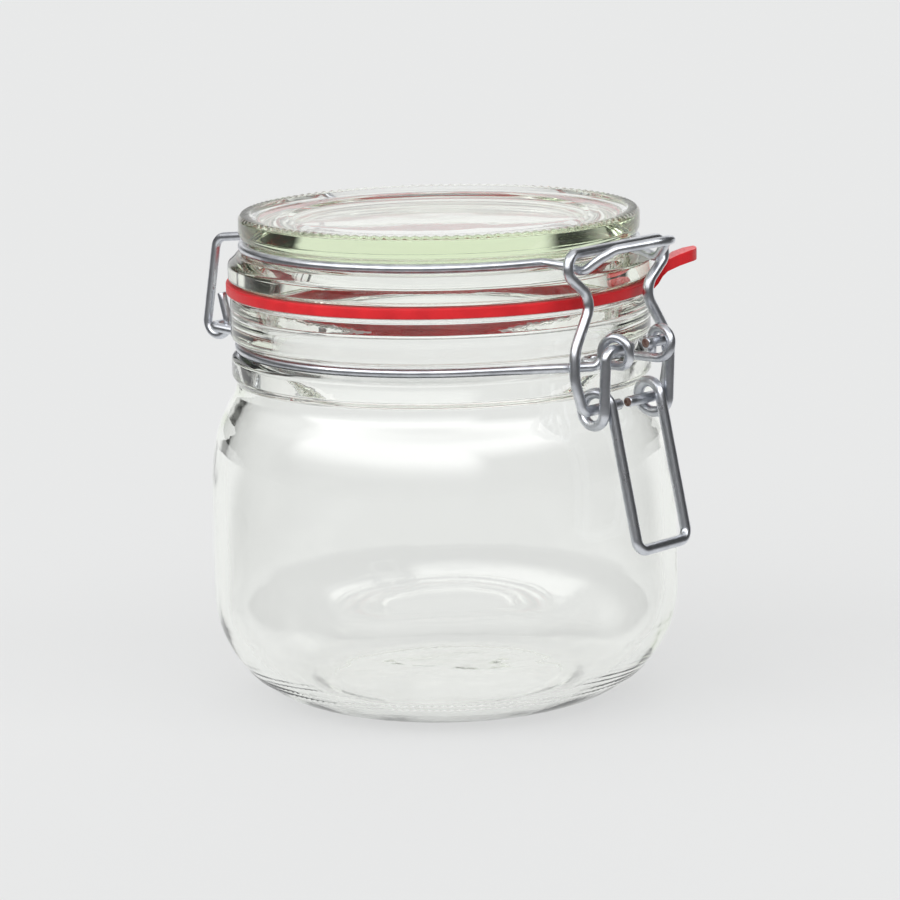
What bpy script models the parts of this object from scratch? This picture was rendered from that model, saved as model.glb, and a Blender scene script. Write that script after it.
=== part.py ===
"""Clip-top canning jar: glass jar, glass lid, rubber ring and four bent wires.

Axis of the jar along +Z, base on z = 0, closure towards +X, hinge towards -X.
Sizes are written in millimetres and turned into metres by MM.
"""
import math

import bpy

MM = 0.001

# Glass
RING_STEPS = 48
BODY_R = 50.2
BASE_CORNER = 24.0
BASE_PANEL = 0.7                # height of the flat panel inside the foot ring
WALL = 3.0
NECK_R = 45.1
RIM_Z = 88.65
LID_TOP = 105.9

# Rubber ring
GASKET_Z = (88.95, 91.25)
GASKET_R = (40.2, 45.9)
TAB_ANGLE = 33.0

# Wires
RING_WIRE = 2.0
CLAMP_WIRE = 2.3
NECK_WIRE_R, NECK_WIRE_Z = 43.3, 77.4
LID_WIRE_R, LID_WIRE_Z = 42.1, 98.9
EYE = (53.4, 80.5)              # x, z of the two eyelets in the neck wire
EYE_R = 3.05
EYE_Y = (6.3, 8.5)              # |y| where each eyelet starts and ends
PIVOT = (53.3, 81.0)            # x, z of the lever's pins inside the eyelets
LEVER_Y = 10.9
COIL = (49.3, 68.4)             # x, z of the lever's coils, where the bail turns
COIL_R = 3.35
COIL_PITCH = 2.55
HANDLE = (59.2, 39.3)
BAR = (47.8, 101.2)             # x, z of the bail's top bar
HINGE = (-52.2, 78.2)
HOOK_Y = 14.0
HOOK_R = 3.05
HINGE_Y = 16.6


# ---------------------------------------------------------------- helpers
def material(name, colour, roughness, metallic=0.0, transmission=0.0, ior=1.5):
    mat = bpy.data.materials.new(name)
    mat.use_nodes = True
    shader = mat.node_tree.nodes["Principled BSDF"]
    shader.inputs["Base Color"].default_value = (*colour, 1.0)
    shader.inputs["Roughness"].default_value = roughness
    shader.inputs["Metallic"].default_value = metallic
    shader.inputs["Transmission Weight"].default_value = transmission
    shader.inputs["IOR"].default_value = ior
    return mat


def add(name, data, mat, collection, location=(0, 0, 0)):
    obj = bpy.data.objects.new(name, data)
    obj.location = [c * MM for c in location]
    data.materials.append(mat)
    collection.objects.link(obj)
    return obj


def revolve(name, profile, mat, collection):
    """Turn a profile of (radius, z) points, both ends on the axis, about Z."""
    mesh = bpy.data.meshes.new(name)
    points = [(r * MM, 0, z * MM) for r, z in profile]
    mesh.from_pydata(points, [(i, i + 1) for i in range(len(points) - 1)], [])
    obj = add(name, mesh, mat, collection)
    screw = obj.modifiers.new("Screw", "SCREW")
    screw.steps = screw.render_steps = RING_STEPS
    screw.use_merge_vertices = True
    screw.merge_threshold = 0.00001
    screw.use_normal_calculate = True
    return obj


def arc(centre, radius, start, stop, step=15.0):
    """Points (u, v) on a circle from one angle in degrees to another."""
    count = max(1, math.ceil(abs(stop - start) / step))
    angles = [math.radians(start + (stop - start) * i / count) for i in range(count + 1)]
    return [(centre[0] + radius * math.cos(a), centre[1] + radius * math.sin(a)) for a in angles]


def unit(a, b):
    d = [q - p for p, q in zip(a, b)]
    length = math.sqrt(sum(c * c for c in d))
    return [c / length for c in d], length


def rounded(corners, step=22.0):
    """Path through corners (x, y, z, bend radius), each bend replaced by an arc."""
    path = [corners[0][:3]]
    for before, corner, after in zip(corners, corners[1:], corners[2:]):
        here, radius = corner[:3], corner[3]
        back, _ = unit(here, before[:3])
        ahead, _ = unit(here, after[:3])
        cosine = sum(p * q for p, q in zip(back, ahead))
        between = math.acos(max(-1.0, min(1.0, cosine)))
        turn = math.pi - between
        if radius <= 0 or turn < 0.01:
            path.append(here)
            continue
        reach = radius / math.tan(between / 2)
        first = [h + b * reach for h, b in zip(here, back)]
        inward = [(b + a) for b, a in zip(back, ahead)]
        size = math.sqrt(sum(c * c for c in inward))
        centre = [h + c / size * radius / math.sin(between / 2) for h, c in zip(here, inward)]
        spoke = [(f - c) / radius for f, c in zip(first, centre)]
        count = max(1, math.ceil(math.degrees(turn) / step))
        for i in range(count + 1):
            a = turn * i / count
            path.append([c + radius * (s * math.cos(a) - b * math.sin(a))
                         for c, s, b in zip(centre, spoke, back)])
    path.append(corners[-1][:3])
    return path


def mirrored(half):
    """Half a path from its end to the plane y = 0, then its mirror image."""
    other = [(x, -y, z) for x, y, z in reversed(half)]
    return list(half) + other[1 if abs(half[-1][1]) < 1e-6 else 0:]


def wire(name, path, diameter, mat, collection, origin=(0, 0, 0), cyclic=False):
    curve = bpy.data.curves.new(name, "CURVE")
    curve.dimensions = "3D"
    curve.bevel_depth = diameter / 2 * MM
    curve.bevel_resolution = 2
    curve.use_fill_caps = not cyclic
    spline = curve.splines.new("POLY")
    spline.points.add(len(path) - 1)
    for point, place in zip(spline.points, path):
        point.co = (*[(p - o) * MM for p, o in zip(place, origin)], 1.0)
    spline.use_cyclic_u = cyclic
    return add(name, curve, mat, collection, origin)


# ---------------------------------------------------------------- glass
def jar_profile():
    """From the middle of the floor inside, up, over the rim and down outside."""
    foot = BODY_R - BASE_CORNER
    inside = [(0, 6.6), (20, 6.2)]
    inside += arc((foot, 26.0), BASE_CORNER - WALL, -85, 0, 17)
    inside += [(47.2, 47.0), (46.5, 54.5), (44.6, 61.0), (41.4, 66.4), (40.3, 70.5), (39.2, 76.0),
               (39.2, 80.5), (40.0, 84.5), (39.9, 88.0), (40.6, RIM_Z)]
    outside = [(44.3, RIM_Z), (NECK_R, 87.9), (NECK_R, 80.2), (44.4, 79.3), (42.0, 78.7),
               (42.0, 76.1), (44.4, 75.5), (NECK_R, 74.6), (NECK_R, 71.6), (43.9, 69.9),
               (44.6, 67.4), (46.3, 64.2), (48.3, 59.8), (49.5, 54.4), (50.1, 48.4), (BODY_R, 42.0)]
    outside += arc((foot, BASE_CORNER), BASE_CORNER, 0, -90, 15)
    outside += [(24.8, 0), (23.8, BASE_PANEL), (0, BASE_PANEL)]
    return inside + outside


def lid_profile():
    """From the middle of the top, out over the rim and back underneath."""
    return [(0, 102.6), (24.0, 102.8), (30.8, 103.5), (32.0, 104.7), (33.4, 105.0), (38.6, 104.6),
            (40.4, 105.5), (41.6, LID_TOP), (42.6, 105.4), (43.0, 104.2), (43.0, 102.4),
            (42.5, 100.7), (40.8, 100.1), (40.8, 97.9), (42.2, 97.5), (43.7, 97.1), (45.0, 95.8),
            (45.4, 94.4), (45.4, 92.2), (44.8, 91.5), (39.6, 91.5), (39.2, 90.6), (39.0, 89.2),
            (37.9, 88.4), (36.6, 89.2), (35.4, 93.6), (33.0, 96.4), (27.0, 97.6), (0, 98.0)]


# ---------------------------------------------------------------- rubber ring
def gasket_mesh():
    """Flat ring with a pull tab that grows out of its edge and bends upwards."""
    z0, z1 = GASKET_Z
    section = [(GASKET_R[0], z0), (GASKET_R[1] - 0.4, z0), (GASKET_R[1], z0 + 0.4),
               (GASKET_R[1], z1 - 0.4), (GASKET_R[1] - 0.4, z1), (GASKET_R[0], z1)]
    low, high = 2, 3
    count, across = 60, 2
    size = len(section)
    verts, faces = [], []
    for i in range(count):
        a = math.radians(TAB_ANGLE + 360.0 * (i - across / 2) / count)
        verts += [(r * math.cos(a), r * math.sin(a), z) for r, z in section]
    tab_face = []
    for i in range(count):
        n = (i + 1) % count
        for j in range(size):
            k = (j + 1) % size
            quad = (i * size + j, n * size + j, n * size + k, i * size + k)
            if j == low and i < across:
                tab_face.append(quad)
            else:
                faces.append(quad)

    # stations along the tab: distance out, half width, height of both faces
    stations = [(47.6, 5.6, z0 + 0.7, z1 + 0.9), (48.8, 6.4, 91.4, 93.8), (52.0, 5.4, 93.3, 96.0),
                (54.4, 3.2, 94.7, 97.4)]
    t = math.radians(TAB_ANGLE)
    columns = [[c * size + low for c in range(across + 1)], [c * size + high for c in range(across + 1)]]
    for out, half, bottom, top in stations:
        new = []
        for z in (bottom, top):
            row = []
            for c in range(across + 1):
                side = half * (2.0 * c / across - 1.0)
                verts.append((out * math.cos(t) - side * math.sin(t),
                              out * math.sin(t) + side * math.cos(t), z))
                row.append(len(verts) - 1)
            new.append(row)
        (b0, t0), (b1, t1) = columns, new
        for c in range(across):
            faces.append((b0[c], b0[c + 1], b1[c + 1], b1[c]))
            faces.append((t0[c], t1[c], t1[c + 1], t0[c + 1]))
        faces.append((b0[0], b1[0], t1[0], t0[0]))
        faces.append((b0[-1], t0[-1], t1[-1], b1[-1]))
        columns = new
    bottom_row, top_row = columns
    for c in range(across):
        faces.append((bottom_row[c], bottom_row[c + 1], top_row[c + 1], top_row[c]))
    mesh = bpy.data.meshes.new("gasket")
    mesh.from_pydata([[c * MM for c in v] for v in verts], [], faces)
    return mesh


# ---------------------------------------------------------------- wires
def neck_wire_path():
    """Closed loop: bridge, eyelet, round the neck, hinge bar and back again."""
    def on_neck(angle):
        a = math.radians(angle)
        return NECK_WIRE_R * math.cos(a), NECK_WIRE_R * math.sin(a), NECK_WIRE_Z

    bridge_end = math.degrees(math.asin(EYE_Y[0] / NECK_WIRE_R))
    loop_start = (EYE[0], EYE_Y[0], EYE[1] - EYE_R)
    half = rounded([(NECK_WIRE_R, 0, NECK_WIRE_Z, 0), (*on_neck(bridge_end), 2.2), (*loop_start, 0)])
    loop = arc(EYE, EYE_R, -90, 180, 22.5)
    for i, (x, z) in enumerate(loop[1:], 1):
        half.append((x, EYE_Y[0] + (EYE_Y[1] - EYE_Y[0]) * i / (len(loop) - 1), z))

    inner = (EYE[0] - EYE_R, EYE_Y[1])
    reach = math.hypot(*inner)
    touch = math.degrees(math.atan2(inner[1], inner[0]) + math.acos(NECK_WIRE_R / reach))
    leave = 180 - math.degrees(math.asin(HINGE_Y / NECK_WIRE_R))
    corners = [(*half[-1], 0), (*inner, NECK_WIRE_Z, 2.4)]
    corners += [(*on_neck(touch + (leave - touch) * i / 18), 0) for i in range(18)]
    corners += [(*on_neck(leave), 2.2), (HINGE[0], HINGE_Y, HINGE[1], 2.4), (HINGE[0], 0, HINGE[1], 0)]
    half += rounded(corners)[1:]
    other = [(x, -y, z) for x, y, z in reversed(half[1:-1])]
    return half + other


def lid_wire_path():
    """Hook, hinge leg, round the lid, tongue and the same on the other side."""
    def on_lid(angle):
        a = math.radians(angle)
        return LID_WIRE_R * math.cos(a), LID_WIRE_R * math.sin(a), LID_WIRE_Z

    foot = (HINGE[0], HINGE[1] + 0.75)
    half = [(-50.9, HOOK_Y, 85.4)]
    half += [(x, HOOK_Y, z) for x, z in arc(foot, HOOK_R, 0, -180, 22.5)]
    turn = math.degrees(math.asin(HOOK_Y / LID_WIRE_R))
    corners = [(*half[-1], 0), (-51.8, HOOK_Y, 97.6, 3.0), (*on_lid(180 - turn), 2.4)]
    corners += [(*on_lid(180 - turn - (180 - 2 * turn) * i / 24), 0) for i in range(1, 24)]
    corners += [(*on_lid(turn), 2.4), (45.0, 13.1, 98.4, 6.0), (48.9, 12.5, 97.4, 3.0),
                (52.4, 10.6, 100.4, 0), (54.4, 8.6, 102.0, 4.0), (60.2, 2.6, 103.2, 3.0),
                (60.9, 0, 103.3, 0)]
    half += rounded(corners)[1:]
    return mirrored(half)


def lever_path():
    """Pin, leg, coil, handle leg and half the handle, then the other side."""
    gap = (PIVOT[0] - COIL[0], PIVOT[1] - COIL[1])
    enter = math.degrees(math.atan2(gap[1], gap[0]) - math.acos(COIL_R / math.hypot(*gap)))
    grip = (HANDLE[0] - COIL[0], HANDLE[1] - COIL[1])
    leave = math.degrees(math.atan2(grip[1], grip[0]) + math.acos(COIL_R / math.hypot(*grip)))
    turns = arc(COIL, COIL_R, enter, leave - 360, 22.5)
    half = rounded([(PIVOT[0], 2.5, PIVOT[1], 0), (PIVOT[0], LEVER_Y, PIVOT[1], 2.2),
                    (turns[0][0], LEVER_Y, turns[0][1], 0)])
    for i, (x, z) in enumerate(turns[1:], 1):
        half.append((x, LEVER_Y - COIL_PITCH * i / (len(turns) - 1), z))
    half += rounded([(*half[-1], 0), (HANDLE[0], half[-1][1], HANDLE[1], 2.4),
                     (HANDLE[0], 0, HANDLE[1], 0)])[1:]
    return mirrored(half)


def bail_path():
    """Pin, waved arm and half the top bar, then the other side."""
    def at(y, z, bend):
        lean = (z - COIL[1]) / (BAR[1] - COIL[1])
        return COIL[0] + (BAR[0] - COIL[0]) * lean, y, z, bend

    half = rounded([at(1.3, COIL[1], 0), at(13.6, COIL[1], 2.2), at(15.9, 75.4, 9.0), at(15.4, 81.4, 9.0),
                    at(8.7, 91.2, 4.0), at(16.6, 97.2, 2.4), at(15.3, BAR[1], 2.6), at(0, BAR[1], 0)])
    return mirrored(half)


# ---------------------------------------------------------------- assembly
def main():
    for obj in list(bpy.data.objects):
        bpy.data.objects.remove(obj)
    jar = bpy.data.collections.new("canning_jar")
    bpy.context.scene.collection.children.link(jar)

    glass = material("jar_glass", (0.93, 0.97, 0.94), 0.03, transmission=1.0)
    lid_glass = material("lid_glass", (0.90, 0.96, 0.92), 0.03, transmission=1.0)
    rubber = material("gasket_rubber", (0.62, 0.02, 0.03), 0.5)
    steels = [material(n, (0.62, 0.63, 0.65), 0.28, metallic=1.0)
              for n in ("neck_steel", "lid_steel", "lever_steel", "bail_steel")]

    revolve("jar_glass", jar_profile(), glass, jar)
    revolve("lid_glass", lid_profile(), lid_glass, jar)
    add("gasket", gasket_mesh(), rubber, jar)
    wire("neck_wire", neck_wire_path(), RING_WIRE, steels[0], jar, cyclic=True)
    wire("lid_wire", lid_wire_path(), RING_WIRE, steels[1], jar)
    wire("lever_wire", lever_path(), CLAMP_WIRE, steels[2], jar, (PIVOT[0], 0, PIVOT[1]))
    wire("bail_wire", bail_path(), CLAMP_WIRE, steels[3], jar, (COIL[0], 0, COIL[1]))


main()
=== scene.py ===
"""Looks of a clip-top canning jar: pressed glass, red rubber ring and bent zinc-plated wire.

The jar's axis is +Z, its foot stands on z = 0, the clamp is at +X and the hinge at -X.
Sizes are in millimetres and turned into metres when a piece is finished.
"""
from __future__ import annotations

import logging
import math
from dataclasses import dataclass, field
from enum import Enum
from typing import Sequence

import bmesh
import bpy
from mathutils import Matrix, Vector, noise


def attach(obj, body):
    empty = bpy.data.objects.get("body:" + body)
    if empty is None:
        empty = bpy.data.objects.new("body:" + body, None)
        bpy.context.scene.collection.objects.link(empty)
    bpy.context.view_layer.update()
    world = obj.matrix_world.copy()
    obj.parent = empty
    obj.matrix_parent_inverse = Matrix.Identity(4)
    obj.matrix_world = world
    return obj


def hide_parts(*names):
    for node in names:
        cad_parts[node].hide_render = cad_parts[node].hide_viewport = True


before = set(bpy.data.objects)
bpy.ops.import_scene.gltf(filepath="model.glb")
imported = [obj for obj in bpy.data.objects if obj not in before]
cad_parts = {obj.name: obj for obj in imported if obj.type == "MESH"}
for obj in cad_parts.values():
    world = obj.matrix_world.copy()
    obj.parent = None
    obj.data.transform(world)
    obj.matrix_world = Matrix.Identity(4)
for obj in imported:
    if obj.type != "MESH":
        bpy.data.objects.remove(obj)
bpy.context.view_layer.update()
MM = 0.001
MERGE_DISTANCE = 0.002
STRAIGHT = 0.01

log = logging.getLogger("canning_jar")

Point = Sequence[float]
Path = list[Vector]
Outline = tuple[tuple[float, ...], ...]
Colour = tuple[float, float, float]
Stretch = tuple[float, float, float]
Pair = tuple[float, float]


class Body(Enum):
    """The bodies of the frame that a piece can ride on."""

    JAR = "jar"
    LEVER = "lever"
    BAIL = "bail"


class Shape(Enum):
    """Whether a swept wire closes on itself or ends in two cut faces."""

    OPEN = "open"
    LOOP = "loop"


# ---------------------------------------------------------------- paths
def arc(centre: Point, radius: float, start: float, stop: float,
        step: float = 6.0) -> list[tuple]:
    """Points on a flat circle, from one angle to another.

    Args:
        centre: middle of the circle.
        radius: its radius.
        start: first angle in degrees.
        stop: last angle in degrees.
        step: largest angle between two points.

    Returns:
        The points as (u, v) pairs.
    """
    count = max(1, math.ceil(abs(stop - start) / step))
    angles = [math.radians(start + (stop - start) * i / count) for i in range(count + 1)]
    return [(centre[0] + radius * math.cos(a), centre[1] + radius * math.sin(a)) for a in angles]


def rounded(corners: Sequence[Point], step: float = 7.0) -> Path:
    """Path through corners, each bend replaced by an arc.

    Args:
        corners: (x, y, z, bend radius) of each corner, the two ends included.
        step: largest angle between two points of an arc, in degrees.

    Returns:
        The points of the path.
    """
    points = [Vector(c[:3]) for c in corners]
    path = [points[0]]
    for i in range(1, len(points) - 1):
        here, radius = points[i], corners[i][3]
        back = (points[i - 1] - here).normalized()
        ahead = (points[i + 1] - here).normalized()
        between = back.angle(ahead)
        turn = math.pi - between
        if radius <= 0 or turn < STRAIGHT:
            path.append(here)
            continue
        first = here + back * radius / math.tan(between / 2)
        centre = here + (back + ahead).normalized() * radius / math.sin(between / 2)
        spoke = (first - centre) / radius
        count = max(1, math.ceil(math.degrees(turn) / step))
        for k in range(count + 1):
            a = turn * k / count
            path.append(centre + (spoke * math.cos(a) - back * math.sin(a)) * radius)
    path.append(points[-1])
    return path


def smooth_curve(points: Sequence[Point], per_span: int = 6) -> list[tuple]:
    """Catmull-Rom curve through flat points.

    Args:
        points: (u, v) pairs that the curve passes through.
        per_span: points made between two neighbours.

    Returns:
        The points of the curve as (u, v) pairs.
    """
    padded = [Vector(points[0][:2]), *(Vector(p[:2]) for p in points), Vector(points[-1][:2])]
    curve: list[tuple] = []
    for a, b, c, d in zip(padded, padded[1:], padded[2:], padded[3:]):
        for k in range(per_span):
            t = k / per_span
            curve.append(tuple(0.5 * (2 * b + (c - a) * t + (2 * a - 5 * b + 4 * c - d) * t * t
                                      + (3 * b - a - 3 * c + d) * t ** 3)))
    curve.append(tuple(padded[-1]))
    return curve


def rounded_profile(corners: Sequence[Point], step: float = 12.0) -> list[tuple]:
    """Flat version of rounded(): (r, z, bend radius) corners to (r, z) points."""
    path = rounded([(r, 0, z, bend) for r, z, bend in corners], step)
    return [(p.x, p.z) for p in path]


def mirrored(half: Path) -> Path:
    """Half a path that ends on the plane y = 0, and its mirror image after it."""
    return half + [Vector((p.x, -p.y, p.z)) for p in reversed(half[:-1])]


def resampled(path: Path, longest: float) -> Path:
    """The same path with no stretch between two points longer than asked."""
    dense = [path[0]]
    for a, b in zip(path, path[1:]):
        count = max(1, math.ceil((b - a).length / longest))
        dense += [a.lerp(b, k / count) for k in range(1, count + 1)]
    return dense


# ---------------------------------------------------------------- mesh tools
def turned(bm: bmesh.types.BMesh, profile: Sequence[Point], steps: int) -> None:
    """Turn a profile about Z: an eighth of it is spun, then doubled three times.

    Args:
        bm: mesh that takes the turned wall.
        profile: (r, z) points of the outline.
        steps: steps of the full turn, a multiple of eight.
    """
    verts = [bm.verts.new((r, 0, z)) for r, z in profile]
    edges = [bm.edges.new(pair) for pair in zip(verts, verts[1:])]
    bmesh.ops.spin(bm, geom=verts + edges, cent=(0, 0, 0), axis=(0, 0, 1), dvec=(0, 0, 0),
                   angle=math.tau / 8, steps=steps // 8, use_merge=False, use_duplicate=False)
    for share in (8, 4, 2):
        copy = bmesh.ops.duplicate(bm, geom=bm.verts[:] + bm.edges[:] + bm.faces[:])["geom"]
        bmesh.ops.rotate(bm, verts=[g for g in copy if isinstance(g, bmesh.types.BMVert)],
                         cent=(0, 0, 0), matrix=Matrix.Rotation(math.tau / share, 3, "Z"))
    bmesh.ops.remove_doubles(bm, verts=bm.verts, dist=MERGE_DISTANCE)


def swept(bm: bmesh.types.BMesh, path: Path, diameter: float, sides: int, shape: Shape,
          burr: float = 0.09) -> None:
    """Sweep a round section along a path, with a UV map of length and turn.

    Args:
        bm: mesh that takes the wire.
        path: centre line.
        diameter: the wire's thickness.
        sides: points round the section.
        shape: loop, or open with two cut ends.
        burr: width of the rounding of a cut end, as a share of the thickness.
    """
    uv = bm.loops.layers.uv.verify()
    closed = shape is Shape.LOOP
    count = len(path) - 1 if closed else len(path)
    ahead = [(path[min(i + 1, len(path) - 1)] - path[i]).normalized() for i in range(len(path))]
    ahead[-1] = ahead[0] if closed else (path[-1] - path[-2]).normalized()
    tangents = [ahead[0], *((a + b).normalized() for a, b in zip(ahead, ahead[1:]))]
    if closed:
        tangents[0] = tangents[-1] = (ahead[0] + (path[-1] - path[-2]).normalized()).normalized()
    lengths = [0.0]
    for a, b in zip(path, path[1:]):
        lengths.append(lengths[-1] + (b - a).length)

    turn = Vector((0, 0, 1)).rotation_difference(tangents[0]).to_matrix()
    start = Matrix.Translation(path[0]) @ turn.to_4x4()
    ring = bmesh.ops.create_circle(bm, cap_ends=False, radius=diameter / 2, segments=sides,
                                   matrix=start)["verts"]
    first = edges = list({e for v in ring for e in v.link_edges})
    inverse = start.inverted()
    for i in range(1, count):
        turn = tangents[i - 1].rotation_difference(tangents[i]).to_matrix() @ turn
        place = Matrix.Translation(path[i]) @ turn.to_4x4()
        geom = bmesh.ops.extrude_edge_only(bm, edges=edges)["geom"]
        verts = [g for g in geom if isinstance(g, bmesh.types.BMVert)]
        edges = [g for g in geom if isinstance(g, bmesh.types.BMEdge)]
        bmesh.ops.transform(bm, matrix=place @ inverse, verts=verts)
        inverse = place.inverted()
        for face in (g for g in geom if isinstance(g, bmesh.types.BMFace)):
            fresh = set(verts)
            for loop in face.loops:
                local = inverse @ loop.vert.co
                lap = math.atan2(local.y, local.x) / math.tau % 1.0
                loop[uv].uv = (lengths[i if loop.vert in fresh else i - 1], lap)
            low = min(loop[uv].uv.y for loop in face.loops)
            for loop in face.loops:
                if loop[uv].uv.y - low > 0.5:
                    loop[uv].uv.y -= 1.0
    if closed:
        bmesh.ops.bridge_loops(bm, edges=first + edges)
        return
    caps = bmesh.ops.holes_fill(bm, edges=first + edges, sides=sides)["faces"]
    rims = list({e for f in caps for e in f.edges})
    bmesh.ops.bevel(bm, geom=rims, offset=diameter * burr, offset_type="OFFSET", affect="EDGES",
                    segments=2, profile=0.5, material=-1)


def finished(name: str, bm: bmesh.types.BMesh,
             *materials: bpy.types.Material) -> bpy.types.Object:
    """Turn a mesh in millimetres into a smooth-shaded object in metres.

    Args:
        name: name of the piece.
        bm: its mesh, which is freed.
        materials: its material slots, in order.

    Returns:
        The object, at the origin, linked to the scene.
    """
    bmesh.ops.scale(bm, vec=(MM, MM, MM), verts=bm.verts)
    bmesh.ops.recalc_face_normals(bm, faces=bm.faces)
    mesh = bpy.data.meshes.new(name)
    bm.to_mesh(mesh)
    bm.free()
    mesh.shade_smooth()
    for material in materials:
        mesh.materials.append(material)
    piece = bpy.data.objects.new(name, mesh)
    bpy.context.scene.collection.objects.link(piece)
    return piece


def placed(piece: bpy.types.Object, body: Body, slot: str, *nodes: str) -> bpy.types.Object:
    """Let a piece ride on a body and stand for CAD nodes.

    Args:
        piece: the finished piece.
        body: the body that it moves with.
        slot: name of a finish slot; not used.
        nodes: the CAD nodes that it replaces.

    Returns:
        The piece.
    """
    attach(piece, body.value)
    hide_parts(*nodes)
    triangles = sum(len(p.vertices) - 2 for p in piece.data.polygons)
    log.info("%s rides on %s, %d triangles", piece.name, body.value, triangles)
    return piece


# ---------------------------------------------------------------- finishes
class NodeTree:
    """A material's node tree with short calls for adding and linking nodes."""

    def __init__(self, name: str) -> None:
        """Start a material with a Principled shader and an output."""
        self.material = bpy.data.materials.new(name)
        self.material.use_nodes = True
        self.tree = self.material.node_tree
        self.shader = self.tree.nodes["Principled BSDF"]
        self.output = self.tree.nodes["Material Output"]

    def add(self, kind: str, inputs: dict | None = None, **settings: object) -> bpy.types.Node:
        """Add a node.

        Args:
            kind: the node's type, without its ShaderNode prefix.
            inputs: socket name or number to a value, or to a socket to link from.
            settings: properties of the node.

        Returns:
            The node.
        """
        node = self.tree.nodes.new("ShaderNode" + kind)
        for key, value in settings.items():
            setattr(node, key, value)
        for key, value in (inputs or {}).items():
            self.feed(node.inputs[key], value)
        return node

    def feed(self, socket: bpy.types.NodeSocket, value: object) -> None:
        """Link a socket to another one, or set its value."""
        if isinstance(value, bpy.types.NodeSocket):
            self.tree.links.new(value, socket)
        else:
            socket.default_value = value

    def ramp(self, factor: bpy.types.NodeSocket,
             *stops: tuple[float, Sequence[float]]) -> bpy.types.NodeSocket:
        """Colour ramp from a factor.

        Args:
            factor: socket that drives the ramp.
            stops: (position, colour) of each stop, in rising order.

        Returns:
            The ramp's colour socket.
        """
        node = self.add("ValToRGB", {"Fac": factor})
        elements = node.color_ramp.elements
        while len(elements) < len(stops):
            elements.new(0.5)
        for element, (position, colour) in zip(elements, stops):
            element.position = position
            element.color = (*colour, 1.0)
        return node.outputs["Color"]

    def noise(self, vector: bpy.types.NodeSocket, scale: float, detail: float = 2.0,
              roughness: float = 0.5) -> bpy.types.NodeSocket:
        """Fractal noise over a coordinate; returns its factor socket."""
        return self.add("TexNoise", {"Vector": vector, "Scale": scale, "Detail": detail,
                                     "Roughness": roughness}).outputs["Fac"]

    def stretched(self, vector: bpy.types.NodeSocket,
                  scale: Sequence[float]) -> bpy.types.NodeSocket:
        """The coordinate scaled per axis; returns its vector socket."""
        return self.add("Mapping", {"Vector": vector, "Scale": scale}).outputs["Vector"]

    def bump(self, height: bpy.types.NodeSocket, distance: float,
             below: bpy.types.NodeSocket | None = None) -> bpy.types.NodeSocket:
        """Bump.

        Args:
            height: socket with the relief, from 0 to 1.
            distance: depth of the relief in metres.
            below: normal socket of a bump that this one lies on.

        Returns:
            The bump's normal socket.
        """
        inputs = {"Height": height, "Distance": distance, "Strength": 1.0}
        if below is not None:
            inputs["Normal"] = below
        return self.add("Bump", inputs).outputs["Normal"]

    def span(self, value: bpy.types.NodeSocket, low: float, high: float) -> bpy.types.NodeSocket:
        """Map 0..1 to low..high; returns its result socket."""
        return self.add("MapRange", {"Value": value, "To Min": low,
                                     "To Max": high}).outputs["Result"]


@dataclass(frozen=True)
class GlassFinish:
    """Pressed soda-lime glass with a slow ripple and the green of its thick parts."""

    name: str
    tint: Colour = (1.0, 1.0, 1.0)
    absorbed: Colour = (0.50, 0.76, 0.10)
    density: float = 6.0
    ior: float = 1.52
    roughness: float = 0.0
    ripple: float = 0.000022
    slow_scale: float = 75.0
    slow_stretch: Stretch = (1.0, 1.0, 0.55)
    slow_share: float = 7
    fine_scale: float = 420.0
    fine_share: float = 0.35

    def make(self) -> bpy.types.Material:
        """Return the material."""
        nodes = NodeTree(self.name)
        shader = nodes.shader
        shader.inputs["Base Color"].default_value = (*self.tint, 1.0)
        shader.inputs["Roughness"].default_value = self.roughness
        shader.inputs["IOR"].default_value = self.ior
        shader.inputs["Transmission Weight"].default_value = 1.0
        where = nodes.add("TexCoord").outputs["Object"]
        slow = nodes.noise(nodes.stretched(where, self.slow_stretch), self.slow_scale, 1.0)
        fine = nodes.noise(where, self.fine_scale)
        normal = nodes.bump(slow, self.ripple * self.slow_share)
        nodes.feed(shader.inputs["Normal"],
                   nodes.bump(fine, self.ripple * self.fine_share, below=normal))
        volume = nodes.add("VolumeAbsorption",
                           {"Color": (*self.absorbed, 1.0), "Density": self.density})
        nodes.tree.links.new(volume.outputs["Volume"], nodes.output.inputs["Volume"])
        return nodes.material


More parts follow.
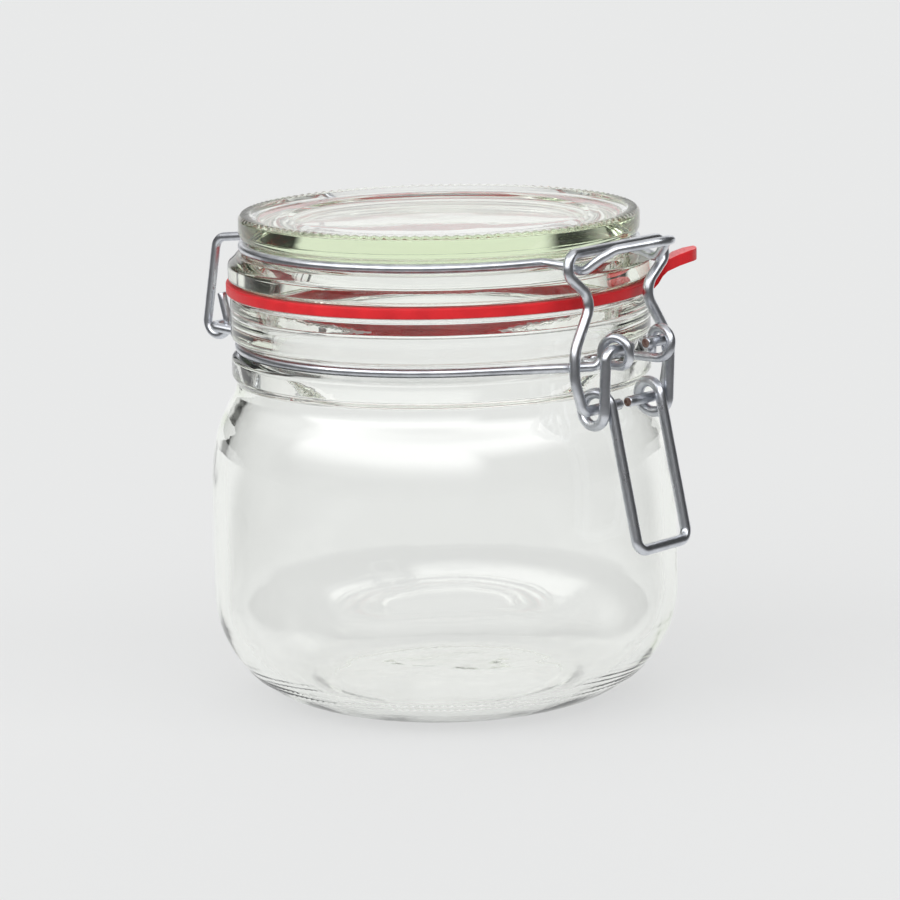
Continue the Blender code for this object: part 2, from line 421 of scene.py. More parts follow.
@dataclass(frozen=True)
class RubberFinish:
    """Moulded red rubber: satin, with a fine grain and a painted highlight, a paler colour on top
    of the tab.

    The painted highlight grows in over highlight_reach, a distance from the jar's axis in metres,
    and over highlight_level, the share of a face's normal that points up.
    """

    name: str = "red_rubber"
    deep: Colour = (0.56, 0.007, 0.013)
    bright: Colour = (0.72, 0.013, 0.020)
    painted_highlight: Colour = (0.80, 0.12, 0.13)
    highlight_reach: Pair = (0.0460, 0.0478)
    highlight_level: Pair = (0.35, 0.75)
    highlight_weight: float = 0.65
    roughness: Pair = (0.42, 0.58)
    specular: float = 0.38
    sheen: float = 0.04
    subsurface: float = 0.08
    subsurface_radius: Stretch = (0.002, 0.0004, 0.0003)
    blotch_scale: float = 160.0
    blotch_depth: float = 0.00010
    grain_scale: float = 2600.0
    grain_depth: float = 0.00004

    def make(self) -> bpy.types.Material:
        """Return the material."""
        nodes = NodeTree(self.name)
        shader = nodes.shader
        coordinates = nodes.add("TexCoord")
        where = coordinates.outputs["Object"]
        blotch = nodes.noise(where, self.blotch_scale, 3.0)
        grain = nodes.noise(where, self.grain_scale)
        level = nodes.stretched(where, (1.0, 1.0, 0.0))
        reach = nodes.add("VectorMath", {0: level}, operation="LENGTH").outputs["Value"]
        # Painted highlight: the tab's faces that point up are coloured paler, standing in for the
        # overhead light on them.
        tab = nodes.add("MapRange", {"Value": reach, "From Min": self.highlight_reach[0],
                                     "From Max": self.highlight_reach[1],
                                     "To Max": self.highlight_weight}).outputs["Result"]
        up = nodes.add("SeparateXYZ", {"Vector": coordinates.outputs["Normal"]}).outputs["Z"]
        top = nodes.add("MapRange", {"Value": up, "From Min": self.highlight_level[0],
                                     "From Max": self.highlight_level[1]}).outputs["Result"]
        blotch_and_highlight = nodes.add("Math", {0: tab, 1: top, 2: blotch}, operation="MULTIPLY_ADD")
        nodes.feed(shader.inputs["Base Color"],
                   nodes.ramp(blotch_and_highlight.outputs["Value"], (0.3, self.deep), (0.7, self.bright),
                              (1.0, self.painted_highlight)))
        nodes.feed(shader.inputs["Roughness"], nodes.span(grain, *self.roughness))
        shader.inputs["Specular IOR Level"].default_value = self.specular
        shader.inputs["Sheen Weight"].default_value = self.sheen
        shader.inputs["Subsurface Weight"].default_value = self.subsurface
        shader.inputs["Subsurface Radius"].default_value = self.subsurface_radius
        shader.inputs["Subsurface Scale"].default_value = 1.0
        low = nodes.bump(blotch, self.blotch_depth)
        nodes.feed(shader.inputs["Normal"], nodes.bump(grain, self.grain_depth, below=low))
        return nodes.material


@dataclass(frozen=True)
class SteelFinish:
    """Zinc-plated drawn wire: satin, with die lines along it and duller patches."""

    name: str = "zinc_wire"
    dull: Colour = (0.50, 0.52, 0.56)
    clean: Colour = (0.72, 0.74, 0.78)
    roughness: Pair = (0.38, 0.22)
    line_stretch: Stretch = (0.35, 26.0, 1.0)
    line_depth: float = 0.00002
    patch_scale: float = 260.0
    patch_depth: float = 0.00003
    noise_roughness: float = 0.6

    def make(self) -> bpy.types.Material:
        """Return the material."""
        nodes = NodeTree(self.name)
        shader = nodes.shader
        coordinates = nodes.add("TexCoord")
        along = nodes.stretched(coordinates.outputs["UV"], self.line_stretch)
        lines = nodes.noise(along, 1.0, 3.0, self.noise_roughness)
        patches = nodes.noise(coordinates.outputs["Object"], self.patch_scale, 4.0,
                              self.noise_roughness)
        nodes.feed(shader.inputs["Base Color"],
                   nodes.ramp(patches, (0.30, self.dull), (0.62, self.clean)))
        nodes.feed(shader.inputs["Roughness"], nodes.span(patches, *self.roughness))
        shader.inputs["Metallic"].default_value = 1.0
        low = nodes.bump(lines, self.line_depth)
        nodes.feed(shader.inputs["Normal"], nodes.bump(patches, self.patch_depth, below=low))
        return nodes.material


@dataclass(frozen=True)
class CutFinish:
    """Sheared end of the wire, bare steel gone brown."""

    name: str = "cut_wire_end"
    rust: Colour = (0.16, 0.075, 0.055)
    steel: Colour = (0.33, 0.24, 0.21)
    roughness: Pair = (0.75, 0.45)
    metallic: float = 0.6
    spot_scale: float = 1800.0
    spot_depth: float = 0.00006

    def make(self) -> bpy.types.Material:
        """Return the material."""
        nodes = NodeTree(self.name)
        shader = nodes.shader
        where = nodes.add("TexCoord").outputs["Object"]
        spots = nodes.noise(where, self.spot_scale, 4.0)
        nodes.feed(shader.inputs["Base Color"],
                   nodes.ramp(spots, (0.35, self.rust), (0.65, self.steel)))
        nodes.feed(shader.inputs["Roughness"], nodes.span(spots, *self.roughness))
        shader.inputs["Metallic"].default_value = self.metallic
        nodes.feed(shader.inputs["Normal"], nodes.bump(spots, self.spot_depth))
        return nodes.material


# ---------------------------------------------------------------- glass
@dataclass
class GlassJar:
    """The jar: squat body, waist, grooved neck and knurled foot.

    Fields that end in _line are (radius, height) points of the wall's outline. groove is the
    wire groove's (radius, bottom, top), and knurl_rows are angles on the heel's curve.
    """

    finish: GlassFinish
    body_r: float = 50.2
    corner: float = 24.0
    wall: float = 3.0
    neck_r: float = 45.1
    ledge_r: float = 44.2
    rim_z: float = 88.65
    groove: tuple[float, float, float] = (42.0, 76.1, 78.7)
    floor_line: Outline = ((0, 3.55), (8, 3.55), (16, 3.55), (23, 3.54), (27.6, 3.5), (29.4, 3.42))
    bore_line: Outline = (
        (47.2, 25.0), (47.3, 36.0), (47.2, 47.0), (46.5, 54.5), (44.6, 61.0), (41.8, 66.0),
        (41.0, 70.0), (40.1, 74.5), (39.7, 77.4), (40.3, 80.0))
    throat_line: Outline = (
        (40.75, 81.8), (41.1, 83.0), (41.28, 83.9), (41.3, 84.5), (41.06, 85.05), (40.8, 85.6),
        (40.36, 86.6), (39.87, 87.8))
    shoulder_line: Outline = (
        (44.0, 69.8), (44.6, 67.4), (46.3, 64.2), (48.3, 59.8), (49.5, 54.4), (50.05, 48.4),
        (50.17, 42.0), (50.19, 33.0))
    foot_line: Outline = ((25.6, 0.0), (25.2, 0.01), (24.9, 0.06), (24.6, 0.11), (24.3, 0.12))
    panel_z: float = 0.3
    panel_step: float = 0.6
    knurls: int = 168
    knurl_rows: Pair = (-45.0, -48.6)
    knurl_lap: Pair = (0.2, 0.8)
    knurl_half: float = 0.9
    knurl_height: float = 0.2
    marks: int = 11
    marks_at: Pair = (-10.6, 12.6)
    marks_r: float = 14.0
    marks_from: float = -120.0
    marks_sweep: float = 140
    mark_share: float = 0.62
    mark_wave: float = 0.5
    mark_depth: float = 0.16
    wander: float = 0.12
    wander_scale: float = 0.04
    wander_z: Pair = (8.0, 66.0)

    @property
    def foot(self) -> float:
        """Radius of the ring that the jar stands on."""
        return self.body_r - self.corner

    def profile(self) -> list[tuple]:
        """Outline of the wall, from the middle of the floor inside, over the rim to the foot."""
        heel_at = (self.foot, self.corner)
        floor = [*self.floor_line, *arc(heel_at, self.corner - self.wall, -79, -2, 3)]
        bore = [*smooth_curve(self.bore_line, 5), *self.throat_line]
        deep, low, high = self.groove
        neck = rounded_profile([
            (39.8, 88.0, 0), (39.6, self.rim_z, 0.3), (42.4, self.rim_z, 0),
            (self.neck_r, self.rim_z, 0.9), (self.neck_r, 79.5, 0.9), (self.ledge_r, 79.0, 0.9),
            (deep, high, 0.5), (deep, low, 0.5), (self.ledge_r, 75.6, 0.9),
            (self.neck_r, 75.1, 0.9), (self.neck_r, 71.2, 1.2), (self.ledge_r, 70.2, 0)])
        shoulder = smooth_curve(self.shoulder_line, 5)
        heel = arc(heel_at, self.corner, 0, -40, 1.6)
        heel += arc(heel_at, self.corner, -40, -88, 1.2)[1:]
        return floor + bore + neck + shoulder + heel + self.base()

    def base(self) -> list[tuple]:
        """Outline under the jar: a small step inside the foot, then a shallow dome."""
        panel_r, step_z = self.foot_line[-1]
        across = resampled([Vector((panel_r - 0.5, 0, 0)), Vector((1.2, 0, 0))], self.panel_step)
        dome = []
        for spot in across:
            swell = 0.5 * (1 + math.cos(math.pi * spot.x / panel_r))
            dome.append((spot.x, step_z + (self.panel_z - step_z) * swell))
        return [*self.foot_line, *dome, (0.0, self.panel_z)]

    def knurl(self, bm: bmesh.types.BMesh) -> None:
        """Raise short ticks in rows round the heel."""
        for vert in bm.verts:
            r = math.hypot(vert.co.x, vert.co.y)
            u, v = r - self.foot, vert.co.z - self.corner
            on_heel = u > 1 and v < 0 and abs(math.hypot(u, v) - self.corner) < 0.2
            if not on_heel:
                continue
            angle = math.degrees(math.atan2(v, u))
            lap = math.atan2(vert.co.y, vert.co.x) / math.tau * self.knurls % 1.0
            near = min(abs(angle - row) for row in self.knurl_rows)
            if near < self.knurl_half and self.knurl_lap[0] < lap < self.knurl_lap[1]:
                lift = self.knurl_height * (1 - (near / self.knurl_half) ** 2)
                vert.co += Vector((vert.co.x / r * u, vert.co.y / r * u, v)) / self.corner * lift

    def emboss(self, bm: bmesh.types.BMesh) -> None:
        """Sink plain wavy dashes in an arc into the dome under the jar."""
        for vert in bm.verts:
            u, v = vert.co.x - self.marks_at[0], vert.co.y - self.marks_at[1]
            r = math.hypot(u, v)
            angle = math.degrees(math.atan2(v, u)) - self.marks_from
            outside = abs(r - self.marks_r) > 2.0 or vert.co.z > self.panel_z + 0.1
            if outside or not 0 < angle < self.marks_sweep:
                continue
            lap = angle / self.marks_sweep * self.marks
            if lap % 1.0 < self.mark_share and int(lap) % 3 != 2:
                middle = self.marks_r + self.mark_wave * math.sin(lap * math.tau)
                vert.co.z += self.mark_depth * max(0.0, 1 - (r - middle) ** 2)

    def wobble(self, bm: bmesh.types.BMesh) -> None:
        """Let the bore wander a little, as pressed and blown glass does."""
        for vert in bm.verts:
            r = math.hypot(vert.co.x, vert.co.y)
            inside = 30 < r < self.body_r - 1.2
            if inside and self.wander_z[0] < vert.co.z < self.wander_z[1]:
                shift = self.wander * noise.noise(vert.co * self.wander_scale)
                vert.co.x += vert.co.x / r * shift
                vert.co.y += vert.co.y / r * shift

    def build(self) -> bpy.types.Object:
        """Make the jar and return it."""
        bm = bmesh.new()
        turned(bm, self.profile(), self.knurls * 2)
        self.wobble(bm)
        self.knurl(bm)
        self.emboss(bm)
        piece = finished("jar_body", bm, self.finish.make())
        return placed(piece, Body.JAR, "jar_glass", "jar_glass")


@dataclass
class GlassLid:
    """The lid: shallow dish, stepped ring, beaded edge, wire groove and sealing flange.

    Fields that end in _line are (radius, height) points of its outline.
    """

    finish: GlassFinish
    top: float = 105.9
    beads: int = 124
    bead_r: float = 41.6
    bead_half: float = 1.3
    bead_height: float = 0.32
    edge_r: float = 43.0
    groove_r: float = 40.8
    flange_r: float = 45.4
    dish_line: Outline = ((0, 104.15), (8, 104.16), (16, 104.2), (25.0, 104.28))
    under_line: Outline = (
        (36.0, 93.9), (35.5, 95.1), (34.3, 96.8), (32.4, 98.3), (29.6, 99.1), (24, 99.2),
        (14, 99.2))

    def profile(self) -> list[tuple]:
        """Outline from the middle of the top, out over the edge and back underneath."""
        crest = self.top - self.bead_height
        edge = rounded_profile([
            (26.6, 104.3, 0), (31.2, 104.4, 0.8), (32.3, 104.95, 0.8), (34.0, 105.0, 2.0),
            (38.8, 104.7, 2.0), (40.3, crest, 0.7), (42.3, crest, 0.7),
            (self.edge_r, 104.9, 0.6), (self.edge_r, 102.0, 1.2), (42.6, 100.8, 0.7),
            (self.groove_r, 100.25, 0.6), (self.groove_r, 97.75, 0.6), (43.4, 97.3, 0.9),
            (self.flange_r, 95.4, 1.6), (self.flange_r, 92.1, 0.6), (44.8, 91.5, 0.5),
            (39.5, 91.5, 0.5), (39.1, 89.0, 0.6), (37.9, 88.2, 0.7), (36.6, 88.9, 0.5),
            (36.4, 91.6, 3.0), (36.15, 93.2, 0)], 10)
        under = smooth_curve(self.under_line, 4)
        under_z = self.under_line[-1][1]
        return smooth_curve(self.dish_line, 3) + edge + under + [(8, under_z), (0, under_z)]

    def bead(self, bm: bmesh.types.BMesh) -> None:
        """Raise a bead at every step of the milled edge."""
        for vert in bm.verts:
            r = math.hypot(vert.co.x, vert.co.y)
            if vert.co.z < self.top - 1.6 or r < 39.8:
                continue
            lap = (math.atan2(vert.co.y, vert.co.x) / math.tau * self.beads) % 1.0
            across = max(0.0, 1 - ((r - self.bead_r) / self.bead_half) ** 2)
            vert.co.z += self.bead_height * across * 0.5 * (1 - math.cos(math.tau * lap))

    def build(self) -> bpy.types.Object:
        """Make the lid and return it."""
        bm = bmesh.new()
        turned(bm, self.profile(), self.beads * 4)
        self.bead(bm)
        piece = finished("lid_body", bm, self.finish.make())
        return placed(piece, Body.JAR, "lid_glass", "lid_glass")


# ---------------------------------------------------------------- rubber ring
@dataclass
class RubberRing:
    """Flat ring between jar and lid, with a pull tab that bends up and narrows.

    tab_line gives the tab's (reach, half width, bottom, top) from its root to its tip.
    """

    finish: RubberFinish
    inner: float = 40.2
    outer: float = 45.9
    low: float = 88.95
    high: float = 91.25
    edge: float = 0.35
    steps: int = 288
    tab_angle: float = 33.0
    tab_faces: int = 11
    tab_line: Outline = (
        (46.4, 5.0, 89.2, 91.5), (47.3, 5.2, 90.2, 92.8), (48.3, 6.0, 91.9, 94.6),
        (49.4, 6.2, 93.0, 95.5), (51.8, 5.2, 94.0, 96.5), (54.2, 3.5, 94.7, 97.2))
    tip_bulge: float = 0.9

    def build(self) -> bpy.types.Object:
        """Make the ring with its tab and return it."""
        bm = bmesh.new()
        corners = [(self.inner, self.low, self.edge), (self.outer, self.low, self.edge),
                   (self.outer, self.high, self.edge), (self.inner, self.high, self.edge)]
        middle = (self.inner, (self.low + self.high) / 2, 0)
        turned(bm, rounded_profile([middle, *corners, middle], 25), self.steps)
        bm.normal_update()
        self.pull_tab(bm)
        bmesh.ops.rotate(bm, verts=bm.verts, cent=(0, 0, 0),
                         matrix=Matrix.Rotation(math.radians(self.tab_angle), 3, "Z"))
        piece = finished("rubber_ring", bm, self.finish.make())
        bevel = piece.modifiers.new("Bevel", "BEVEL")
        bevel.width = self.edge * MM
        bevel.segments = 2
        bevel.limit_method = "ANGLE"
        bevel.angle_limit = math.radians(50)
        return placed(piece, Body.JAR, "gasket_rubber", "gasket")

    def pull_tab(self, bm: bmesh.types.BMesh) -> None:
        """Draw the outer wall round the +X axis out into the tab."""
        half = self.tab_faces * 180.0 / self.steps
        wall = []
        for face in bm.faces:
            centre = face.calc_center_median()
            angle = math.degrees(math.atan2(centre.y, centre.x))
            if abs(angle) < half and math.hypot(centre.x, centre.y) > self.outer - 0.02:
                wall.append(face)
        tip = self.tab_line[-1][0]
        for out, wide, bottom, top in self.tab_line:
            bulge = self.tip_bulge if out == tip else 0.0
            grown = bmesh.ops.extrude_face_region(bm, geom=wall)["geom"]
            bmesh.ops.delete(bm, geom=wall, context="FACES_KEEP_BOUNDARY")
            wall = [g for g in grown if isinstance(g, bmesh.types.BMFace)]
            verts = {v for f in wall for v in f.verts}
            reach = max(abs(v.co.y) for v in verts)
            z0, z1 = min(v.co.z for v in verts), max(v.co.z for v in verts)
            for v in verts:
                v.co.y *= wide / reach
                v.co.z = bottom + (top - bottom) * (v.co.z - z0) / (z1 - z0)
                v.co.x = out + bulge * (1 - (v.co.y / wide) ** 2)


# ---------------------------------------------------------------- wires
@dataclass
class Wires:
    """The four bent wires: gauges, places, bends and finish.

    Places in the clamp's and the hinge's plane are (x, z) pairs, rings are (radius, height).
    tongue_line gives (x, y, z, bend) and arm_line (y, z, bend) of the corners.
    """

    finish: SteelFinish
    cut: CutFinish
    ring_gauge: float = 2.0
    clamp_gauge: float = 2.3
    sides: int = 20
    section_step: float = 2.0
    turn_step: float = 9
    bend: float = 2.4
    tight_bend: float = 2.2
    neck_ring: Pair = (43.3, 77.4)
    lid_ring: Pair = (42.1, 98.9)
    eye: Pair = (53.4, 80.5)
    eye_r: float = 3.05
    eye_y: Pair = (6.3, 8.5)
    pivot: Pair = (53.3, 81.0)
    pin_y: float = 2.5
    lever_y: float = 10.9
    coil: Pair = (49.3, 68.4)
    coil_r: float = 3.35
    coil_pitch: float = 2.55
    handle: Pair = (59.2, 39.3)
    bail_pin_y: float = 1.3
    arm_y: float = 13.6
    bar: Pair = (47.8, 101.2)
    bar_y: float = 15.3
    bar_bend: float = 2.6
    arm_line: Outline = (
        (15.9, 75.4, 9.0), (15.4, 81.4, 9.0), (8.7, 91.2, 4.0), (16.6, 97.2, 2.4))
    hinge: Pair = (-52.2, 78.2)
    hinge_y: float = 16.6
    hook_y: float = 14.0
    hook_r: float = 3.05
    hook_tip: Pair = (-50.9, 85.4)
    hook_top: Pair = (-51.8, 97.6)
    tongue_line: Outline = (
        (45.0, 13.1, 98.4, 6.0), (48.9, 12.5, 97.4, 3.0), (52.4, 10.6, 100.4, 0),
        (54.4, 8.6, 102.0, 4.0), (60.2, 2.6, 103.2, 3.0), (60.86, 0, 103.3, 0))
    made: dict[str, bpy.types.Material] = field(default_factory=dict)

    @staticmethod
    def around(ring: Pair, start: float, stop: float, step: float = 2.5) -> Path:
        """Points on a level ring of (radius, height), from one angle to another."""
        return [Vector((x, y, ring[1])) for x, y in arc((0, 0), ring[0], start, stop, step)]

    def neck_path(self) -> Path:
        """Closed loop: bridge, eyelet, round the neck, hinge bar and back again."""
        radius, height = self.neck_ring
        bridge = math.degrees(math.asin(self.eye_y[0] / radius))
        low = (self.eye[0], self.eye_y[0], self.eye[1] - self.eye_r)
        front = [Vector((radius, 0, height))]
        front += rounded([(*self.around(self.neck_ring, 0, bridge)[-2], 0),
                          (*self.around(self.neck_ring, bridge, bridge)[0], self.tight_bend),
                          (*low, 0)])
        eyelet = arc(self.eye, self.eye_r, -90, 180, self.turn_step)
        step = (self.eye_y[1] - self.eye_y[0]) / (len(eyelet) - 1)
        front += [Vector((x, self.eye_y[0] + step * i, z))
                  for i, (x, z) in enumerate(eyelet[1:], 1)]

        inner = (self.eye[0] - self.eye_r, self.eye_y[1])
        touch = math.degrees(math.atan2(inner[1], inner[0])
                             + math.acos(radius / math.hypot(*inner)))
        leave = 180 - math.degrees(math.asin(self.hinge_y / radius))
        back = self.around(self.neck_ring, touch, leave)
        front += rounded([(*front[-1], 0), (*inner, height, self.bend), (*back[0], 0)])[1:]
        tail = rounded([(*back[-2], 0), (*back[-1], self.tight_bend),
                        (self.hinge[0], self.hinge_y, self.hinge[1], self.bend),
                        (self.hinge[0], 0, self.hinge[1], 0)])
        return mirrored(front + back[1:-2] + tail)

    def lid_path(self) -> Path:
        """Hook, hinge leg, round the lid, tongue and the same on the other side."""
        foot = (self.hinge[0], self.hinge[1] + 0.75)
        half = [Vector((self.hook_tip[0], self.hook_y, self.hook_tip[1]))]
        half += [Vector((x, self.hook_y, z))
                 for x, z in arc(foot, self.hook_r, 0, -180, self.turn_step)]
        turn = math.degrees(math.asin(self.hook_y / self.lid_ring[0]))
        ring = self.around(self.lid_ring, 180 - turn, turn)
        half += rounded([(*half[-1], 0), (self.hook_top[0], self.hook_y, self.hook_top[1], 3.0),
                         (*ring[0], self.bend), (*ring[1], 0)])[1:]
        half += ring[2:-2]
        half += rounded([(*ring[-2], 0), (*ring[-1], self.bend), *self.tongue_line])
        return mirrored(half)

    def lever_path(self) -> Path:
        """Pin, leg, coil, handle leg and half the handle, then the other side."""
        gap = (self.pivot[0] - self.coil[0], self.pivot[1] - self.coil[1])
        enter = math.degrees(math.atan2(gap[1], gap[0])
                             - math.acos(self.coil_r / math.hypot(*gap)))
        grip = (self.handle[0] - self.coil[0], self.handle[1] - self.coil[1])
        leave = math.degrees(math.atan2(grip[1], grip[0])
                             + math.acos(self.coil_r / math.hypot(*grip)))
        turns = arc(self.coil, self.coil_r, enter, leave - 360, self.turn_step)
        half = rounded([(self.pivot[0], self.pin_y, self.pivot[1], 0),
                        (self.pivot[0], self.lever_y, self.pivot[1], self.tight_bend),
                        (turns[0][0], self.lever_y, turns[0][1], 0)])
        step = self.coil_pitch / (len(turns) - 1)
        half += [Vector((x, self.lever_y - step * i, z)) for i, (x, z) in enumerate(turns[1:], 1)]
        half += rounded([(*half[-1], 0), (self.handle[0], half[-1].y, self.handle[1], self.bend),
                         (self.handle[0], 0, self.handle[1], 0)])[1:]
        return mirrored(half)

    def bail_path(self) -> Path:
        """Pin, waved arm and half the top bar, then the other side."""
        def at(y: float, z: float, bend: float) -> tuple[float, float, float, float]:
            """Corner of the arm, which leans from the coil to the bar."""
            lean = (z - self.coil[1]) / (self.bar[1] - self.coil[1])
            return self.coil[0] + (self.bar[0] - self.coil[0]) * lean, y, z, bend

        half = rounded([at(self.bail_pin_y, self.coil[1], 0),
                        at(self.arm_y, self.coil[1], self.tight_bend),
                        *(at(*corner) for corner in self.arm_line),
                        at(self.bar_y, self.bar[1], self.bar_bend), at(0, self.bar[1], 0)])
        return mirrored(half)

    def wire(self, name: str, path: Path, gauge: float, shape: Shape) -> bpy.types.Object:
        """Sweep one wire, with the cut-end finish on its end faces.

        Args:
            name: name of the piece.
            path: centre line.
            gauge: the wire's thickness.
            shape: loop, or open with two cut ends.

        Returns:
            The finished piece.
        """
        bm = bmesh.new()
        swept(bm, resampled(path, self.section_step), gauge, self.sides, shape)
        for face in bm.faces:
            if len(face.verts) > 4:
                face.material_index = 1
        return finished(name, bm, self.made["wire"], self.made["cut"])

    def build(self) -> list[bpy.types.Object]:
        """Make the four wires and return them."""
        self.made = {"wire": self.finish.make(), "cut": self.cut.make()}
        return [
            placed(self.wire("neck_loop", self.neck_path(), self.ring_gauge, Shape.LOOP),
                   Body.JAR, "neck_steel", "neck_wire"),
            placed(self.wire("lid_loop", self.lid_path(), self.ring_gauge, Shape.OPEN),
                   Body.JAR, "lid_steel", "lid_wire"),
            placed(self.wire("lever_loop", self.lever_path(), self.clamp_gauge, Shape.OPEN),
                   Body.LEVER, "lever_steel", "lever_wire"),
            placed(self.wire("bail_loop", self.bail_path(), self.clamp_gauge, Shape.OPEN),
                   Body.BAIL, "bail_steel", "bail_wire")]


# ---------------------------------------------------------------- studio
@dataclass(frozen=True)
class Glow:
    """A lit patch of the surroundings, in degrees.

    Azimuth 0 is straight behind the jar as the camera sees it, and 90 is to its right.
    """

    azimuth: float
    elevation: float
    half_wide: float
    half_high: float
    soft: float
    level: float


@dataclass
class Studio:
    """Pale lit floor, a dark card round the jar, a world of soft boxes, and the camera.

    floor_half is in metres, lengths of the card and the camera's place in millimetres, and
    angles in degrees. behind_gain is how much brighter the floor is in reflections and
    through glass than straight from the camera.
    """

    floor_half: float = 8.0
    floor_tone: Colour = (0.80, 0.805, 0.805)
    floor_paint: Colour = (0.215, 0.217, 0.217)
    floor_glow: float = 0.73
    floor_roughness: float = 0.9
    behind_gain: float = 1.09
    backdrop_tone: Colour = (0.80, 0.81, 0.81)
    dark_z: float = 0.5
    dark_from: float = 95.0
    dark_fade: float = 2.8
    dark_side: Pair = (0.62, 0.35)
    dark_tone: float = 0.12
    glows: tuple[Glow, ...] = (
        Glow(6.0, 10.0, 30.0, 34.0, 3.0, 0.95),
        Glow(214.0, 36.0, 54.0, 17.0, 9.0, 3.0),
        Glow(148.0, 42.0, 46.0, 11.0, 8.0, 2.9),
        Glow(285.0, 40.0, 33.0, 18.0, 10.0, 0.8),
        Glow(0.0, 80.0, 360.0, 26.0, 12.0, 0.9),
    )
    gloom: float = 0.04
    azimuth: float = 40.0
    distance: float = 950.0
    height: float = 230.3
    aside: float = 1.385
    pitch: float = 10.556
    roll: float = -1.186
    focal_px: float = 4475.4
    picture_px: float = 900.0
    sensor_mm: float = 36.0
    sight: Pair = (0.01, 100.0)
    bounces: int = 32
    gloss_bounces: int = 12

    @property
    def right(self) -> Vector:
        """Level direction to the camera's right."""
        turn = math.radians(self.azimuth)
        return Vector((math.cos(turn), math.sin(turn), 0))

    @property
    def away(self) -> Vector:
        """Level direction away from the camera."""
        turn = math.radians(self.azimuth)
        return Vector((-math.sin(turn), math.cos(turn), 0))

    def sheet(self, name: str, height: float, nodes: NodeTree) -> bpy.types.Object:
        """A square sheet the size of the floor, at a height in millimetres."""
        bm = bmesh.new()
        bmesh.ops.create_grid(bm, x_segments=1, y_segments=1, size=self.floor_half / MM,
                              matrix=Matrix.Translation((0, 0, height)))
        return finished(name, bm, nodes.material)

    def floor(self) -> None:
        """Lay the floor: glowing paper, a little brighter in reflections and through glass."""
        nodes = NodeTree("studio_paper")
        direct = nodes.add("LightPath").outputs["Is Camera Ray"]
        through = [c * self.behind_gain for c in self.floor_tone]
        tone = nodes.ramp(direct, (0.0, through), (1.0, self.floor_tone))
        nodes.feed(nodes.shader.inputs["Emission Color"], tone)
        nodes.shader.inputs["Emission Strength"].default_value = self.floor_glow
        nodes.shader.inputs["Base Color"].default_value = (*self.floor_paint, 1.0)
        nodes.shader.inputs["Roughness"].default_value = self.floor_roughness
        nodes.shader.inputs["Specular IOR Level"].default_value = 0.0
        self.sheet("studio_floor", 0.0, nodes)

    def dark_card(self) -> None:
        """Lay a dark card round the jar, open behind it, for reflections and glass alone."""
        nodes = NodeTree("studio_dark")
        where = nodes.add("TexCoord").outputs["Object"]
        reach = nodes.add("VectorMath", {0: where}, operation="LENGTH").outputs["Value"]
        level = nodes.add("VectorMath", {0: where, 1: self.away},
                          operation="DOT_PRODUCT").outputs["Value"]
        facing = nodes.add("Math", {0: level, 1: reach}, operation="DIVIDE").outputs[0]
        first = self.dark_from * MM
        near = nodes.add("MapRange", {0: reach, 1: first, 2: first * self.dark_fade,
                                      3: 0.0, 4: 1.0}, interpolation_type="SMOOTHSTEP").outputs[0]
        side = nodes.add("MapRange", {0: facing, 1: self.dark_side[0], 2: self.dark_side[1],
                                      3: 0.0, 4: 1.0}, interpolation_type="SMOOTHSTEP").outputs[0]
        nodes.feed(nodes.shader.inputs["Alpha"],
                   nodes.add("Math", {0: near, 1: side}, operation="MULTIPLY").outputs[0])
        nodes.shader.inputs["Base Color"].default_value = (*[self.dark_tone] * 3, 1.0)
        nodes.shader.inputs["Roughness"].default_value = 1.0
        nodes.shader.inputs["Specular IOR Level"].default_value = 0.0
        dark = self.sheet("studio_dark_surface", self.dark_z, nodes)
        dark.visible_camera = dark.visible_diffuse = dark.visible_shadow = False

    def world(self) -> None:
        """Set soft boxes in a dark room, which the camera itself sees as one plain tone."""
        world = bpy.data.worlds.new("studio_world")
        world.use_nodes = True
        tree = world.node_tree

        def node(kind: str, *values: object, **settings: object) -> bpy.types.Node:
            """Add a node whose inputs are linked or set in order."""
            made = tree.nodes.new("ShaderNode" + kind)
            for key, value in settings.items():
                setattr(made, key, value)
            for socket, value in zip(made.inputs, values):
                if isinstance(value, bpy.types.NodeSocket):
                    tree.links.new(value, socket)
                else:
                    socket.default_value = value
            return made

        def maths(operation: str, *values: object) -> bpy.types.NodeSocket:
            """Result of a Math node."""
            return node("Math", *values, operation=operation).outputs[0]

        def along(direction: Vector) -> bpy.types.NodeSocket:
            """Share of the view direction that lies along another one."""
            return node("VectorMath", view, direction, operation="DOT_PRODUCT").outputs["Value"]

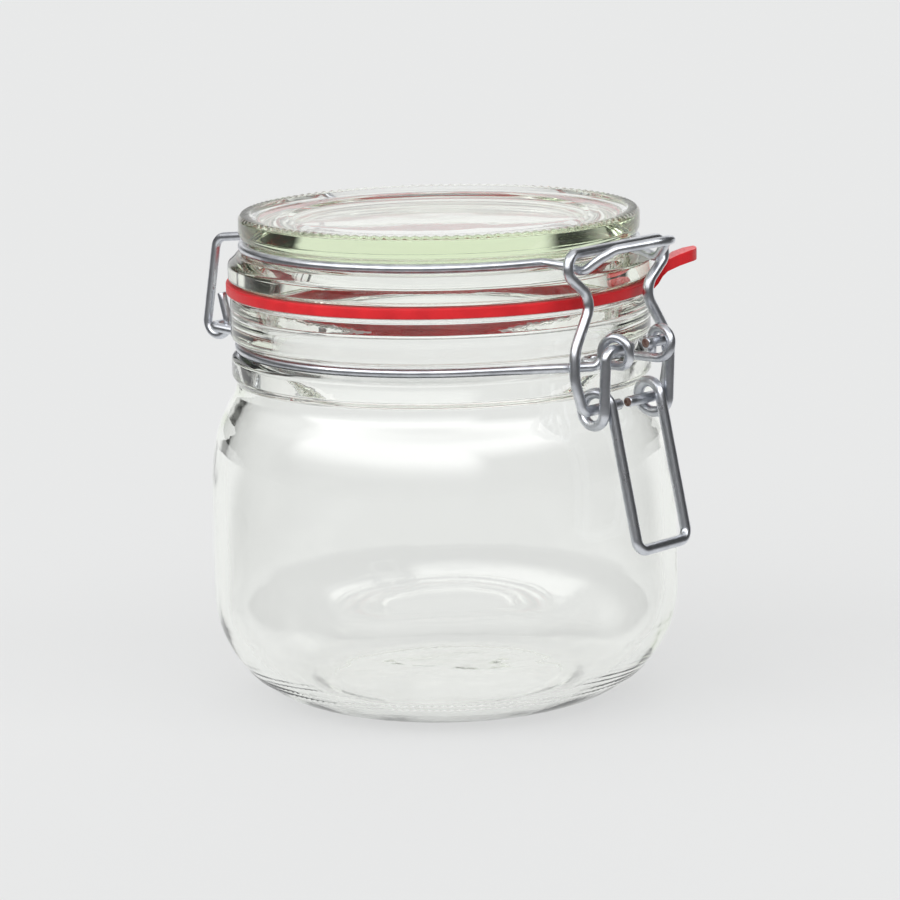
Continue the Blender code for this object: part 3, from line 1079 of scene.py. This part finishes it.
        view = node("TexCoord").outputs["Generated"]
        azimuth = maths("DEGREES", maths("ARCTAN2", along(self.right), along(self.away)))
        elevation = maths("DEGREES", maths("ARCSINE", along(Vector((0, 0, 1)))))
        level: object = self.gloom
        for glow in self.glows:
            turned_by = maths("WRAP", maths("SUBTRACT", azimuth, glow.azimuth), 180.0, -180.0)
            across = node("MapRange", maths("ABSOLUTE", turned_by), glow.half_wide + glow.soft,
                          glow.half_wide - glow.soft, 0.0, 1.0, interpolation_type="SMOOTHSTEP")
            up = node("MapRange", maths("ABSOLUTE", maths("SUBTRACT", elevation, glow.elevation)),
                      glow.half_high + glow.soft, glow.half_high - glow.soft, 0.0, glow.level,
                      interpolation_type="SMOOTHSTEP")
            lit = maths("MULTIPLY", across.outputs["Result"], up.outputs["Result"])
            level = maths("MAXIMUM", level, lit)
        seen = tree.nodes["Background"]
        seen.inputs["Color"].default_value = (*self.backdrop_tone, 1.0)
        light = node("Background")
        tree.links.new(level, light.inputs["Strength"])
        light.inputs["Color"].default_value = (1.0, 1.0, 1.0, 1.0)
        mix = node("MixShader", node("LightPath").outputs["Is Camera Ray"], light.outputs[0],
                   seen.outputs[0])
        tree.links.new(mix.outputs[0], tree.nodes["World Output"].inputs["Surface"])
        bpy.context.scene.world = world

    def camera(self) -> None:
        """Set the camera up."""
        place = self.right * self.aside - self.away * self.distance + Vector((0, 0, self.height))
        basis = Matrix((self.right, Vector((0, 0, 1)), -self.away)).transposed()
        tilt = Matrix.Rotation(math.radians(-self.pitch), 3, "X")
        roll = Matrix.Rotation(math.radians(self.roll), 3, "Z")
        data = bpy.data.cameras.new("studio_camera")
        data.sensor_width = self.sensor_mm
        data.lens = self.focal_px / self.picture_px * data.sensor_width
        data.clip_start, data.clip_end = self.sight
        camera = bpy.data.objects.new("studio_camera", data)
        camera.matrix_world = Matrix.Translation(place * MM) @ (basis @ tilt @ roll).to_4x4()
        bpy.context.scene.collection.objects.link(camera)
        bpy.context.scene.camera = camera

    def build(self) -> None:
        """Make floor, light and camera, and set how light is traced and shown."""
        self.floor()
        self.dark_card()
        self.world()
        self.camera()
        scene = bpy.context.scene
        scene.view_settings.view_transform = "Standard"
        scene.cycles.max_bounces = self.bounces
        scene.cycles.transmission_bounces = self.bounces
        scene.cycles.glossy_bounces = self.gloss_bounces
        scene.cycles.volume_bounces = 0


def main() -> None:
    """Build the jar piece by piece, then the studio."""
    logging.basicConfig(level=logging.INFO, format="%(name)s: %(message)s", force=True)
    GlassJar(GlassFinish("jar_glass_clear")).build()
    GlassLid(GlassFinish("lid_glass_clear", ripple=0.000005)).build()
    RubberRing(RubberFinish()).build()
    Wires(SteelFinish(), CutFinish()).build()
    Studio().build()


if __name__ == "__main__":
    main()
